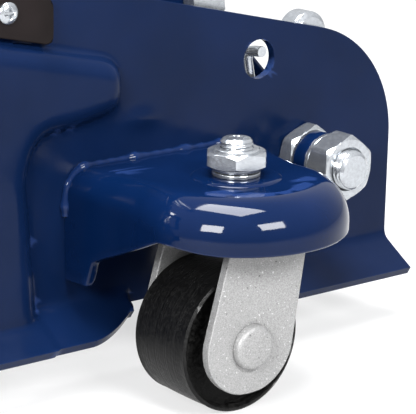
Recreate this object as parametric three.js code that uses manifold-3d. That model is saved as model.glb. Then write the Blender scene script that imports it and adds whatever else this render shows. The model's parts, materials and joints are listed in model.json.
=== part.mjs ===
// Hydraulic trolley jack with two swivel casters at the rear.
// Millimetres, +Z up. The saddle end is at -X, the handle end at +X, and the left side plate at -Y.
import * as THREE from 'three';
import { mergeVertices } from 'three/addons/utils/BufferGeometryUtils.js';
import Module from 'manifold-3d';

const wasm = await Module();
wasm.setup();

// ---- driving dimensions -------------------------------------------------------------------------
const GAP = 0.3;                   // clearance kept between neighbouring pieces
const PLATE_Y = 62;                // outer face of each side plate's web
const PLATE_T = 4;                 // sheet thickness of the side plates
const PLATE_REAR_X = 325;
const CASTER_X = 192;              // swivel axis of the rear casters
const CASTER_Y = PLATE_Y + 49.3;
const CASTER_R = 30;
const CASTER_W = 31.4;
const CASTER_TRAIL = 8.7;          // wheel axle ahead of the swivel axis
const FORK_OUT = CASTER_W / 2 + 7.2;   // outer face of a fork leg from the wheel's middle
const FORK_T = 4;
const BRACKET_TOP = 95.2;
const BRACKET_R = 47;
const BRACKET_SKIRT = 74;          // lower rim of the bracket's skirt
const BRACKET_FOOT = 47;           // lower end of the bracket's welded foot
const YOKE_X = 270.6;              // handle yoke pivot
const YOKE_Z = 83.2;
const YOKE_LEAN = THREE.MathUtils.degToRad(38);   // at rest the handle leans towards the saddle
const ARM_X = 60;                  // lift arm pivot
const ARM_Z = 125;
const SADDLE_X = -262;             // saddle bracket pivot, arm lowered
const SADDLE_Z = 100;
const ROD_DX = -10;                // parallel rods: offset of both pivots from the arm's pivots
const ROD_DZ = -34;
const LUG_X = 87.5;                // pin of the arm's lower lug
const LUG_Z = 77.4;                // and height of the ram's axis
const LINK_LENGTH = 30;
const FRONT_X = -287;              // front axle
const FRONT_Z = 38;
const FRONT_R = 38;
const FRONT_AXLE_R = 10;
const ARM_Y = 38;                  // outer face of the lift arm's side plates
const ARM_T = 4;
const ARM_SHAFT_R = 12.5;
const STUD_R = 8;                  // studs that carry the parallel rods
const YOKE_BOLT_R = 9;
const STEM_R = 7;                  // caster's swivel stem
const RIVET_R = 6;

const TOP_Z = 160.4;               // top edge of the side plate above the swivel axis
const TOP_SLOPE = 0.2205;
const HOLE_X = CASTER_X + 52.1;    // inspection hole in each side plate
const HOLE_Z = 130.2;
const HOLE_R = 8.8;
const TIE_ROD_R = 8;
const FRONT_ROD = [-150, 47];      // X and Z of the front tie rod
const REAR_ROD = [308, 48];

const rear = (l) => CASTER_X + l;                       // X of a point l behind the swivel axis
const topEdge = (x) => TOP_Z - TOP_SLOPE * (x - CASTER_X);   // side plate's top edge, rear part
const PEAK_X = 80;                 // the top edge turns down towards the front wheels here
const FRONT_SLOPE = 0.3;
const frontEdge = (x) => topEdge(PEAK_X) - FRONT_SLOPE * (PEAK_X - x);

// ---- materials ----------------------------------------------------------------------------------
function finish(color, roughness, metalness) {
  return new THREE.MeshStandardMaterial({ color, roughness, metalness });
}
const paint = finish(0x1c2c5a, 0.25, 0.1);
const zinc = finish(0xc9ccd0, 0.35, 0.9);
const zincMatt = finish(0xc4c5c4, 0.6, 0.6);
const blackWheel = finish(0x232323, 0.5, 0.1);
const blackPlastic = finish(0x221f1f, 0.6, 0);
const steel = finish(0x8b8f94, 0.35, 0.9);
const chrome = finish(0xdfe3e8, 0.12, 1);
const rubber = finish(0x1b1b1b, 0.8, 0);
const castPaint = finish(0x14203f, 0.45, 0.1);

// ---- solids -------------------------------------------------------------------------------------
function solid(geometry) {
  const bare = geometry.clone();
  bare.deleteAttribute('normal');
  bare.deleteAttribute('uv');
  const merged = mergeVertices(bare, 1e-4);
  const mesh = new wasm.Mesh({
    numProp: 3,
    vertProperties: new Float32Array(merged.attributes.position.array),
    triVerts: new Uint32Array(merged.index.array),
  });
  mesh.merge();
  return new wasm.Manifold(mesh);
}

function geometryOf(body) {
  const mesh = body.getMesh();
  const geometry = new THREE.BufferGeometry();
  geometry.setAttribute('position', new THREE.BufferAttribute(new Float32Array(mesh.vertProperties), 3));
  geometry.setIndex(new THREE.BufferAttribute(new Uint32Array(mesh.triVerts), 1));
  geometry.computeVertexNormals();
  return geometry;
}

function join(first, ...others) {
  return geometryOf(others.reduce((body, other) => body.add(solid(other)), solid(first)));
}

function cut(first, ...tools) {
  return geometryOf(tools.reduce((body, tool) => body.subtract(solid(tool)), solid(first)));
}

function box(x0, x1, y0, y1, z0, z1) {
  const geometry = new THREE.BoxGeometry(x1 - x0, y1 - y0, z1 - z0);
  return geometry.translate((x0 + x1) / 2, (y0 + y1) / 2, (z0 + z1) / 2);
}

// Round bars along each axis, from one end to the other.
function barY(x, z, radius, y0, y1, sides = 16) {
  return new THREE.CylinderGeometry(radius, radius, y1 - y0, sides).translate(x, (y0 + y1) / 2, z);
}

function barX(y, z, radius, x0, x1, sides = 16) {
  const geometry = new THREE.CylinderGeometry(radius, radius, x1 - x0, sides).rotateZ(Math.PI / 2);
  return geometry.translate((x0 + x1) / 2, y, z);
}

function barZ(x, y, radius, z0, z1, sides = 16) {
  const geometry = new THREE.CylinderGeometry(radius, radius, z1 - z0, sides).rotateX(Math.PI / 2);
  return geometry.translate(x, y, (z0 + z1) / 2);
}

// A flat outline in X and Z, given thickness from y0 to y1.
function slab(shape, y0, y1, curveSegments = 12) {
  const geometry = new THREE.ExtrudeGeometry(shape, { depth: y1 - y0, bevelEnabled: false, curveSegments });
  return geometry.rotateX(Math.PI / 2).translate(0, y1, 0);
}

function outline(points) {
  return new THREE.Shape(points.map(([x, y]) => new THREE.Vector2(x, y)));
}

// The outline of a strap with a round end at each of two points.
function strap(x0, z0, r0, x1, z1, r1) {
  const along = Math.atan2(z1 - z0, x1 - x0);
  const spread = Math.acos((r0 - r1) / Math.hypot(x1 - x0, z1 - z0));
  const shape = new THREE.Shape();
  shape.absarc(x0, z0, r0, along + spread, along - spread + 2 * Math.PI, false);
  shape.absarc(x1, z1, r1, along - spread, along + spread, false);
  shape.closePath();
  return shape;
}

// The same piece for the other side: mirrored in Y, with each triangle turned over again.
function mirrored(geometry) {
  const flipped = geometryOf(solid(geometry)).scale(1, -1, 1);
  const { index } = flipped;
  for (let i = 0; i < index.count; i += 3) {
    const second = index.getX(i + 1);
    index.setX(i + 1, index.getX(i + 2));
    index.setX(i + 2, second);
  }
  return flipped;
}

// A hexagon nut or head on the Y axis, with a flat-to-flat size and a bore.
function hexY(x, z, acrossFlats, bore, y0, y1) {
  const corner = acrossFlats / Math.sqrt(3);
  const hex = new THREE.CylinderGeometry(corner, corner, y1 - y0, 6);
  hex.rotateY(Math.PI / 2).translate(x, (y0 + y1) / 2, z);
  return bore ? cut(hex, barY(x, z, bore, y0 - 1, y1 + 1)) : hex;
}

// A closed body through a stack of convex rings that have the same number of points.
function stack(rings) {
  const count = rings[0].length;
  const middle = (ring) => ring.reduce((sum, p) => sum.add(p), new THREE.Vector3()).divideScalar(count);
  const points = [...rings.flat(), middle(rings[0]), middle(rings[rings.length - 1])];
  const index = [];
  for (let i = 0; i < count; i += 1) {
    const next = (i + 1) % count;
    for (let k = 0; k + 1 < rings.length; k += 1) {
      const low = k * count;
      const high = low + count;
      index.push(low + i, low + next, high + next, low + i, high + next, high + i);
    }
    const last = (rings.length - 1) * count;
    index.push(points.length - 2, next, i, points.length - 1, last + i, last + next);
  }
  const geometry = new THREE.BufferGeometry().setFromPoints(points);
  geometry.setIndex(index);
  return geometry;
}

const jack = new THREE.Group();

function add(name, geometry, material, parent = jack) {
  const mesh = new THREE.Mesh(geometry, material);
  mesh.name = name;
  parent.add(mesh);
  return mesh;
}

// The piece made for the left side, and its mirror image for the right.
function addPair(name, geometry, material) {
  add(`${name}_left`, geometry, material);
  add(`${name}_right`, mirrored(geometry), material);
}

// ---- side plates --------------------------------------------------------------------------------
const FLANGE_OUT = 19.6;
const FLANGE_TIP_Z = 22.3;
const WEB_BOTTOM = 31;
const CORNER_R = 56;

function webOutline() {
  const slope = Math.atan(TOP_SLOPE);
  const cornerX = PLATE_REAR_X - CORNER_R;
  const cornerZ = topEdge(cornerX) - CORNER_R / Math.cos(slope);
  const shape = new THREE.Shape();
  shape.moveTo(-228, WEB_BOTTOM);
  shape.lineTo(PLATE_REAR_X, WEB_BOTTOM);
  shape.absarc(cornerX, cornerZ, CORNER_R, 0, Math.PI / 2 - slope, false);
  shape.lineTo(PEAK_X + 25, topEdge(PEAK_X + 25));
  shape.quadraticCurveTo(PEAK_X, topEdge(PEAK_X), PEAK_X - 25, frontEdge(PEAK_X - 25));
  shape.lineTo(-215, frontEdge(-215));
  shape.quadraticCurveTo(-262, 78, FRONT_X + 4, 66);
  shape.absarc(FRONT_X, FRONT_Z, 27, Math.PI * 0.45, Math.PI * 1.5, false);
  shape.lineTo(-255, FRONT_Z - 27);
  return shape;
}

// The pressed panel that stands out of the web, ahead of the caster.
function panelOutline() {
  const under = 26.6;               // the ledge runs this far below the top edge
  return outline([
    [rear(-25), topEdge(rear(-25)) - under], [rear(-22), 118], [rear(-46), 109.5], [rear(-66), 107],
    [rear(-71), 96], [rear(-66), 36], [-150, 36], [-172, 52], [-172, frontEdge(-172) - under],
    [PEAK_X - 20, frontEdge(PEAK_X - 20) - under], [PEAK_X + 20, topEdge(PEAK_X + 20) - under],
  ]);
}

// The panel's block with sloping sides, which starts at Y = top.
function panel(height, inset, top) {
  const depth = 12;
  const geometry = new THREE.ExtrudeGeometry(panelOutline(), {
    depth, bevelThickness: height, bevelSize: height, bevelOffset: -height - inset, bevelSegments: 1,
  });
  return geometry.rotateX(Math.PI / 2).translate(0, top + depth + height, 0);
}

// Flange section in Y and Z, swept along X.
function flange() {
  const y = -PLATE_Y;
  const section = outline([
    [y + PLATE_T, 33.5], [y + PLATE_T, 40], [y, 40], [y - 1.5, 37], [y - FLANGE_OUT - 1, 25.6],
    [y - FLANGE_OUT + 0.5, FLANGE_TIP_Z], [y - 0.8, 32.5],
  ]);
  const length = PLATE_REAR_X + 225;
  const geometry = new THREE.ExtrudeGeometry(section, { depth: length, bevelEnabled: false });
  return geometry.rotateX(Math.PI / 2).rotateZ(Math.PI / 2).translate(-225, 0, 0);
}

// The flange is cut back around the caster so that the wheel can swivel.
function casterRelief() {
  const shape = new THREE.Shape();
  const y = (n) => -PLATE_Y - n;
  shape.moveTo(rear(-48.3), y(30));
  shape.lineTo(rear(-48.3), y(19.8));
  shape.quadraticCurveTo(rear(-36), y(16.5), rear(-24), y(11));
  shape.lineTo(rear(-17.6), y(0.5));
  shape.lineTo(rear(17.6), y(0.5));
  shape.lineTo(rear(24), y(11));
  shape.quadraticCurveTo(rear(36), y(16.5), rear(48.3), y(19.8));
  shape.lineTo(rear(48.3), y(30));
  shape.closePath();
  const relief = new THREE.ExtrudeGeometry(shape, { depth: 40, bevelEnabled: false, curveSegments: 5 });
  return relief.translate(0, 0, 5);
}

const PANEL_HEIGHT = 8;

function sidePlate() {
  const outer = -PLATE_Y;
  const hole = (x, z, radius) => barY(x, z, radius, outer - 15, outer + 9);
  const web = slab(webOutline(), outer, outer + PLATE_T, 10);
  const inside = box(-400, 400, outer + PLATE_T, 200, -50, 300);
  const raised = cut(panel(PANEL_HEIGHT, 0, outer - PANEL_HEIGHT), inside);
  const hollow = panel(PANEL_HEIGHT, 4, outer - PANEL_HEIGHT + PLATE_T);
  return cut(
    join(web, raised, flange()), hollow, casterRelief(),
    hole(YOKE_X, YOKE_Z, YOKE_BOLT_R + GAP),
    hole(HOLE_X, HOLE_Z, HOLE_R),
    hole(ARM_X, ARM_Z, ARM_SHAFT_R + GAP),
    hole(FRONT_X, FRONT_Z, FRONT_AXLE_R + GAP),
    hole(ARM_X + ROD_DX, ARM_Z + ROD_DZ, STUD_R + GAP),
    hole(...FRONT_ROD, TIE_ROD_R + GAP),
    hole(...REAR_ROD, TIE_ROD_R + GAP),
  );
}

addPair('side_plate', sidePlate(), paint);

// ---- rear casters -------------------------------------------------------------------------------
// Plan of the bracket: a round outer end, and straight sides that spread a little towards the plate.
function bracketPlan(grow) {
  const lean = 0.1;
  const steps = 20;
  const r = BRACKET_R + grow;
  const half = 52.5 + grow;
  const plan = [new THREE.Vector2(rear(-half), -PLATE_Y + 16)];
  for (let i = 0; i <= steps; i += 1) {
    const turn = Math.PI + lean + (i / steps) * (Math.PI - 2 * lean);
    plan.push(new THREE.Vector2(CASTER_X + r * Math.cos(turn), -CASTER_Y + r * Math.sin(turn)));
  }
  plan.push(new THREE.Vector2(rear(half), -PLATE_Y + 16));
  return plan;
}

// A convex outline stacked in rings, with its upper edge rounded.
function bracketBody(grow, round, bottom, top) {
  const steps = 4;
  const rings = [{ z: bottom, inset: 0 }];
  for (let i = 0; i <= steps; i += 1) {
    const turn = (i / steps) * Math.PI / 2;
    rings.push({ z: top - round + round * Math.sin(turn), inset: round * (1 - Math.cos(turn)) });
  }
  const lifted = (z) => (p) => new THREE.Vector3(p.x, p.y, z);
  return stack(rings.map(({ z, inset }) => bracketPlan(grow - inset).map(lifted(z))));
}

function casterBracket() {
  const face = -PLATE_Y;
  const y = (n) => face - n;
  const lower = outline([
    [y(13), 30], [y(13), 55], [y(17), 58.5], [y(55), BRACKET_SKIRT], [y(110), BRACKET_SKIRT],
    [y(110), 30],
  ]);
  const underSkirt = new THREE.ExtrudeGeometry(lower, { depth: 140, bevelEnabled: false });
  underSkirt.rotateX(Math.PI / 2).rotateZ(Math.PI / 2).translate(rear(-70), 0, 0);
  return cut(
    bracketBody(0, 10, 10, BRACKET_TOP),
    bracketBody(-4, 6, 0, BRACKET_TOP - 4),
    box(rear(-90), rear(90), face - GAP, face + 60, 0, 120),
    box(rear(-90), rear(90), face - 120, face + 60, -10, BRACKET_FOOT),
    underSkirt,
    barZ(CASTER_X, -CASTER_Y, STEM_R + GAP, 60, 120),
  );
}

const FORK_HALF = 20.3;            // half the width of a fork leg at the crown
const FORK_TOP = 85;

function casterFork() {
  const leg = strap(rear(-CASTER_TRAIL), CASTER_R, 22, rear(0), 72, FORK_HALF);
  const legs = [-CASTER_Y - FORK_OUT, -CASTER_Y + FORK_OUT - FORK_T].map((y0) => {
    const upper = box(rear(-FORK_HALF), rear(FORK_HALF), y0, y0 + FORK_T, 70, FORK_TOP);
    return join(slab(leg, y0, y0 + FORK_T, 8), upper);
  });
  const [y0, y1] = [-CASTER_Y - FORK_OUT, -CASTER_Y + FORK_OUT];
  const crown = box(rear(-FORK_HALF), rear(FORK_HALF), y0, y1, FORK_TOP - 5, FORK_TOP);
  return cut(
    join(crown, ...legs), barZ(CASTER_X, -CASTER_Y, STEM_R + GAP, 60, 120),
    box(rear(-40), rear(40), y0 - 20, y1 + 20, FORK_TOP, 120),
    barY(rear(-CASTER_TRAIL), CASTER_R, RIVET_R + GAP, y0 - 20, y1 + 20),
  );
}

// A wheel on the Y axis with a rim lip and a recessed web on each side.
function wheel(radius, width, bore, hubRadius, hubWidth, recess) {
  const half = width / 2;
  const hub = hubWidth / 2;
  const profile = [
    [bore, -hub], [hubRadius, -hub], [hubRadius, -half + recess], [radius - 4, -half + recess],
    [radius - 3.5, -half], [radius, -half], [radius, half], [radius - 3.5, half],
    [radius - 4, half - recess], [hubRadius, half - recess], [hubRadius, hub], [bore, hub], [bore, -hub],
  ].map(([r, y]) => new THREE.Vector2(r, y));
  return geometryOf(solid(new THREE.LatheGeometry(profile, 24)));
}

function casterRivet() {
  const x = rear(-CASTER_TRAIL);
  const out = FORK_OUT + GAP;
  const [headR, headT] = [9.6, 3.4];
  return join(
    barY(x, CASTER_R, RIVET_R, -CASTER_Y - out - 1, -CASTER_Y + out + 1),
    barY(x, CASTER_R, headR, -CASTER_Y - out - headT, -CASTER_Y - out),
    barY(x, CASTER_R, headR, -CASTER_Y + out, -CASTER_Y + out + headT),
  );
}

function casterStem() {
  const head = barZ(CASTER_X, -CASTER_Y, 12, 74.5, FORK_TOP - 5 - GAP);
  return join(barZ(CASTER_X, -CASTER_Y, STEM_R, 76, 111), head);
}

const CASTER_NUT = { flats: 24, height: 8, turn: THREE.MathUtils.degToRad(-38.6) };
const COLLAR = { radius: 9.9, height: 4 };

function casterNut() {
  const { flats, height, turn } = CASTER_NUT;
  const collarTop = BRACKET_TOP + COLLAR.height;
  const corner = flats / Math.sqrt(3);
  const hex = new THREE.CylinderGeometry(corner, corner, height, 6).rotateX(Math.PI / 2).rotateZ(turn);
  hex.translate(CASTER_X, -CASTER_Y, collarTop + height / 2);
  const collar = barZ(CASTER_X, -CASTER_Y, COLLAR.radius, BRACKET_TOP + GAP, collarTop + 1);
  return cut(join(hex, collar), barZ(CASTER_X, -CASTER_Y, STEM_R + GAP, 90, 120));
}

function ring(x, y, inner, outer, z0, z1) {
  return cut(barZ(x, y, outer, z0, z1), barZ(x, y, inner, z0 - 1, z1 + 1));
}

addPair('caster_bracket', casterBracket(), paint);
addPair('caster_fork', casterFork(), zincMatt);
const casterWheel = wheel(CASTER_R, CASTER_W, RIVET_R + GAP, 12, CASTER_W + 4, 5);
addPair('caster_wheel', casterWheel.translate(rear(-CASTER_TRAIL), -CASTER_Y, CASTER_R), blackWheel);
addPair('caster_axle_rivet', casterRivet(), zincMatt);
addPair('caster_stem', casterStem(), zinc);
addPair('caster_nut', casterNut(), zinc);
const bearing = ring(CASTER_X, -CASTER_Y, STEM_R + GAP, 17, FORK_TOP + GAP, BRACKET_TOP - 4 - GAP);
addPair('caster_bearing', bearing, steel);

// ---- front axle and wheels ----------------------------------------------------------------------
const FRONT_HUB_Y = 82;
const FRONT_HEAD_Y = 100 + GAP;      // inner face of the axle's riveted heads
const FRONT_HEAD_T = 5.7;

function frontAxle() {
  const heads = [-FRONT_HEAD_Y - FRONT_HEAD_T, FRONT_HEAD_Y];
  return join(
    barY(FRONT_X, FRONT_Z, FRONT_AXLE_R, -FRONT_HEAD_Y - 4, FRONT_HEAD_Y + 4),
    ...heads.map((y0) => barY(FRONT_X, FRONT_Z, 15, y0, y0 + FRONT_HEAD_T)),
  );
}

add('front_axle', frontAxle(), zinc);
const frontWheel = wheel(FRONT_R, 34, FRONT_AXLE_R + GAP, 17, 36, 5);
addPair('front_wheel', frontWheel.translate(FRONT_X, -FRONT_HUB_Y, FRONT_Z), blackWheel);

// ---- cross members ------------------------------------------------------------------------------
add('front_tie_rod', barY(...FRONT_ROD, TIE_ROD_R, -72, 72), zinc);
add('rear_tie_rod', barY(...REAR_ROD, TIE_ROD_R, -PLATE_Y + GAP, PLATE_Y - GAP), zinc);
add('base_plate', box(196, 244, -57.7, 57.7, 38, 43), paint);

// ---- handle yoke, its bolts and the handle ------------------------------------------------------
const NUT_FLATS = 27;
const JAM_NUT_T = 8;
const WASHER_N = 17;               // distances out from the side plate
const OUTER_NUT_N = [19.5, 31.9];
const BOLT_END_N = 36.5;
const CHEEK_Y = 35;                // outer face of the yoke's cheeks

function yokeBolt() {
  const washer = -PLATE_Y - WASHER_N;
  return join(
    barY(YOKE_X, YOKE_Z, YOKE_BOLT_R, -PLATE_Y - BOLT_END_N, -28.5),
    barY(YOKE_X, YOKE_Z, 11.5, -PLATE_Y + PLATE_T + GAP, -CHEEK_Y - GAP),
    barY(YOKE_X, YOKE_Z, 13.5, washer - 2.2, washer),
  );
}

function yokeNut(near, far) {
  return hexY(YOKE_X, YOKE_Z, NUT_FLATS, YOKE_BOLT_R + GAP, -PLATE_Y - far, -PLATE_Y - near);
}

// Coil around the left bolt, with a leg that hooks into the plate's inspection hole.
function yokeSpring() {
  const [coilIn, coilOut, wireR] = [13, 19, 2.6];
  const inner = -PLATE_Y + PLATE_T + 2;
  const hookX = HOLE_X + 0.5;
  const hookZ = HOLE_Z + 3;
  const coil = cut(
    barY(YOKE_X, YOKE_Z, coilOut, inner, -CHEEK_Y - 2, 20), barY(YOKE_X, YOKE_Z, coilIn, -70, -30, 20),
  );
  const leg = slab(strap(YOKE_X - 17, YOKE_Z + 5, wireR, hookX, hookZ, wireR), inner, inner + 2 * wireR, 4);
  return join(coil, leg, barY(hookX, hookZ, wireR, -PLATE_Y - 1, inner + wireR, 8));
}

addPair('yoke_bolt', yokeBolt(), zinc);
addPair('yoke_jam_nut', yokeNut(GAP, GAP + JAM_NUT_T), zinc);
addPair('yoke_outer_nut', yokeNut(...OUTER_NUT_N), zinc);
add('yoke_buffer', barY(rear(86), 137, 10.5, -PLATE_Y + PLATE_T + GAP, -46), zinc);
add('yoke_spring', yokeSpring(), zinc);

// Yoke and handle are made upright around the pivot, then leaned forward together.
const handle = new THREE.Group();
handle.position.set(YOKE_X, 0, YOKE_Z);
handle.rotation.y = -YOKE_LEAN;
jack.add(handle);

const ROLLER_ARM = 17;
const ROLLER_ANGLE = THREE.MathUtils.degToRad(18);
const rollerX = ROLLER_ARM * Math.sin(ROLLER_ANGLE);
const rollerZ = -ROLLER_ARM * Math.cos(ROLLER_ANGLE);

const ROLLER_PIN_R = 4;
const SOCKET = { bottom: 60, top: 150, floor: 92, outer: 24, bore: 17.6 };
const TUBE_R = 17.2;               // lower handle tube
const UPPER_TUBE_R = 14.8;
const CROSS_BOLT = [12, 80];       // X and Z in the upright yoke
const CROSS_BOLT_R = 5;
const THUMB_Z = 128;

function yoke() {
  const cheekShape = strap(0, 0, 25, 0, 96, 15);
  const cheeks = [-CHEEK_Y, CHEEK_Y - 6].map((y) => slab(cheekShape, y, y + 6, 8));
  const bridge = box(-14, 14, -33, 33, 54, 70);
  const socket = barZ(0, 0, SOCKET.outer, SOCKET.bottom, SOCKET.top, 20);
  const side = box(-13, 18, -33, 33, 64, 100);
  const pin = barY(rollerX, rollerZ, ROLLER_PIN_R, -34, 34, 16);
  return cut(
    join(bridge, ...cheeks, socket, side, pin), barZ(0, 0, SOCKET.bore, SOCKET.floor - 1, 160, 20),
    barY(0, 0, YOKE_BOLT_R + GAP, -40, -20), barY(0, 0, YOKE_BOLT_R + GAP, 20, 40),
    barY(...CROSS_BOLT, CROSS_BOLT_R + GAP, -40, 40, 16),
  );
}

function roller() {
  const bore = barY(rollerX, rollerZ, ROLLER_PIN_R + GAP, -14, 14);
  return cut(barY(rollerX, rollerZ, 7, -12, 12, 20), bore);
}

function handleTube() {
  return cut(barZ(0, 0, TUBE_R, SOCKET.floor, 390), barZ(0, 0, UPPER_TUBE_R + GAP, 300, 400));
}

function grip() {
  return cut(barZ(0, 0, 18.5, 505, 642), barZ(0, 0, UPPER_TUBE_R + GAP, 500, 637));
}

function crossBolt() {
  const head = hexY(...CROSS_BOLT, 17, 0, -CHEEK_Y - 8, -CHEEK_Y - GAP);
  return join(barY(...CROSS_BOLT, CROSS_BOLT_R, -40, 38, 16), head);
}

function thumbScrew() {
  const shank = barX(0, THUMB_Z, 4, SOCKET.outer + GAP, 38, 16);
  return join(shank, box(37, 56, -2.5, 2.5, THUMB_Z - 10, THUMB_Z + 10));
}

add('handle_yoke', yoke(), paint, handle);
add('yoke_roller', roller(), steel, handle);
add('yoke_cross_bolt', crossBolt(), zinc, handle);
add('thumb_screw', thumbScrew(), zinc, handle);
add('handle_lower_tube', handleTube(), zinc, handle);
add('handle_upper_tube', barZ(0, 0, UPPER_TUBE_R, 320, 636), zinc, handle);
add('handle_grip', grip(), rubber, handle);

// ---- hydraulic unit -----------------------------------------------------------------------------
const PLUNGER_Z = 72;
const PLUNGER_R = 6;
const VALVE_Z = 52;
const VALVE_R = 5;
const BLOCK_X = [205, 240];
const PLUG_X = 214;
const RAM_R = 13;

function pumpBlock() {
  return cut(
    box(BLOCK_X[0], BLOCK_X[1], -28.3, 28.3, 43 + GAP, 112),
    barX(0, PLUNGER_Z, PLUNGER_R + GAP, BLOCK_X[0] + 1, BLOCK_X[1] + 5),
    barX(0, VALVE_Z, VALVE_R + GAP, 225, BLOCK_X[1] + 5),
    barZ(PLUG_X, 0, 6 + GAP, 104, 120),
  );
}

function cylinder() {
  return cut(barX(0, LUG_Z, 31, 141, BLOCK_X[0] - GAP, 24), barX(0, LUG_Z, RAM_R + GAP, 130, 200));
}

const CROSSHEAD_X = LUG_X + LINK_LENGTH;

function ram() {
  const head = box(CROSSHEAD_X - 12, CROSSHEAD_X + 12, -20, 20, LUG_Z - 13, LUG_Z + 13);
  const pin = barY(CROSSHEAD_X, LUG_Z, 6, -33, 33, 20);
  return join(head, barX(0, LUG_Z, RAM_R, CROSSHEAD_X, 190), pin);
}

// The rear eye is oversize, because the lug's pin swings while the crosshead slides straight.
function linkPlate() {
  return cut(
    slab(strap(LUG_X, LUG_Z, 14, CROSSHEAD_X, LUG_Z, 18.5), -31, -25, 7),
    barY(LUG_X, LUG_Z, 8 + GAP, -35, -20), barY(CROSSHEAD_X, LUG_Z, 14.5, -35, -20),
  );
}

add('pump_block', pumpBlock(), castPaint);
add('ram_cylinder', cylinder(), castPaint);
add('ram', ram(), chrome);
addPair('ram_link', linkPlate(), steel);
const plungerHead = barX(0, PLUNGER_Z, 9, 268.5, 276.3);
add('pump_plunger', join(barX(0, PLUNGER_Z, PLUNGER_R, 235, 270), plungerHead), chrome);
add('filler_plug', join(barZ(PLUG_X, 0, 6, 106, 113), barZ(PLUG_X, 0, 7.5, 112 + GAP, 115, 6)), rubber);
add('release_valve', join(barX(0, VALVE_Z, VALVE_R, 226, 252), box(246, 258, -6, 6, 48, 56)), steel);

// ---- lift arm, parallel rods and saddle ---------------------------------------------------------
function armPlate() {
  const y0 = -ARM_Y;
  const beam = slab(strap(ARM_X, ARM_Z, 30, SADDLE_X, SADDLE_Z, 20), y0, y0 + ARM_T, 8);
  const lug = slab(strap(ARM_X, ARM_Z, 26, LUG_X, LUG_Z, 18), y0, y0 + ARM_T, 8);
  return cut(
    join(beam, lug), barY(ARM_X, ARM_Z, ARM_SHAFT_R + GAP, -45, -30),
    barY(SADDLE_X, SADDLE_Z, 10 + GAP, -45, -30), barY(LUG_X, LUG_Z, 8 + GAP, -45, -30),
  );
}

function armTop() {
  const inside = ARM_Y - ARM_T - GAP;
  const slope = (ARM_Z + 29.5 - SADDLE_Z - 20) / (ARM_X - SADDLE_X);
  const top = (x) => SADDLE_Z + 19.5 + (x - SADDLE_X) * slope;
  const [x0, x1, thick] = [-205, 20, 4.5];
  const section = outline([[x0, top(x0) - thick], [x1, top(x1) - thick], [x1, top(x1)], [x0, top(x0)]]);
  return slab(section, -inside, inside);
}

function saddleBracket() {
  const x = SADDLE_X;
  const z = SADDLE_Z;
  const body = outline([
    [x - 32, z + 24], [x - 34, z + 14], [x - 24, z - 14], [x - 22, z + ROD_DZ - 5],
    [x - 16, z + ROD_DZ - 12], [x - 2, z + ROD_DZ - 10], [x + 3, z + ROD_DZ + 2],
    [x + 16, z - 10], [x + 32, z + 14], [x + 32, z + 24],
  ]);
  return cut(
    slab(body, -33, 33), barY(x, z, 10 + GAP, -40, 40), box(x - 30, x + 12, -24, 24, 40, z - 14),
    barY(x + ROD_DX, z + ROD_DZ, 6.5 + GAP, -40, 40),
    barZ(x, 0, 9 + GAP, z + 12, z + 30),
  );
}

function saddle() {
  const z = SADDLE_Z + 24 + GAP;
  const profile = [[0, -8], [9, -8], [9, 0], [38, 0], [42, 4], [42, 14], [37.5, 14], [37.5, 8], [0, 8]]
    .map(([r, y]) => new THREE.Vector2(r, y));
  const turned = new THREE.LatheGeometry(profile, 24).rotateX(Math.PI / 2).translate(SADDLE_X, 0, z);
  return geometryOf(solid(turned));
}

function radiusRod() {
  const x0 = ARM_X + ROD_DX;
  const z0 = ARM_Z + ROD_DZ;
  const x1 = SADDLE_X + ROD_DX;
  const z1 = SADDLE_Z + ROD_DZ;
  const bar = join(
    slab(strap(x0, z0, 9, x1, z1, 9), -50, -44, 4), slab(strap(x0, z0, 14, x0 - 6, z0, 13), -50, -44, 6),
    slab(strap(x1, z1, 13, x1 + 6, z1, 12), -50, -44, 6),
  );
  return cut(bar, barY(x0, z0, STUD_R + GAP, -60, -40), barY(x1, z1, 6.5 + GAP, -60, -40));
}

function armShaft() {
  const inner = PLATE_Y + PANEL_HEIGHT + GAP;
  const outer = PLATE_Y + 16;
  return join(
    barY(ARM_X, ARM_Z, ARM_SHAFT_R, -outer + 4, outer - 4),
    barY(ARM_X, ARM_Z, 17, -outer, -inner), barY(ARM_X, ARM_Z, 17, inner, outer),
  );
}

addPair('lift_arm_plate', armPlate(), paint);
add('lift_arm_top', armTop(), paint);
add('arm_pivot_shaft', armShaft(), zinc);
add('lug_pin', barY(LUG_X, LUG_Z, 8, -41, 41), steel);
add('saddle_pin', barY(SADDLE_X, SADDLE_Z, 10, -42, 42), zinc);
add('saddle_bracket', saddleBracket(), castPaint);
add('rod_cross_pin', barY(SADDLE_X + ROD_DX, SADDLE_Z + ROD_DZ, 6.5, -52, 52), zinc);
add('saddle', saddle(), castPaint);
add('saddle_pad', barZ(SADDLE_X, 0, 37, SADDLE_Z + 24 + 8 + 2 * GAP, SADDLE_Z + 24 + 22, 24), rubber);
addPair('radius_rod', radiusRod(), paint);
addPair('radius_rod_stud', barY(ARM_X + ROD_DX, ARM_Z + ROD_DZ, STUD_R, -PLATE_Y - 14, -43), zinc);

// ---- carrying handle on the left side plate -----------------------------------------------------
const LOOP_X = [-54, 56];          // middle of the front and rear posts
const LOOP_N = 46;                 // how far the loop stands out of the side plate
const PAD_EDGE = [6, 25.3];        // a pad's top and bottom edge, below the plate's top edge

// The rear pad bends with the plate's top edge, so its outline has a middle point at the peak.
function pads(y0, y1) {
  const edge = (x) => (x > PEAK_X ? topEdge(x) : frontEdge(x));
  return [[40, PEAK_X, 133], [-102, -70, -38]].map((stops) => {
    const low = stops.map((x) => [x, edge(x) - PAD_EDGE[1]]);
    const high = stops.map((x) => [x, edge(x) - PAD_EDGE[0]]).reverse();
    return slab(outline([...low, ...high]), y0, y1);
  });
}

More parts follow.
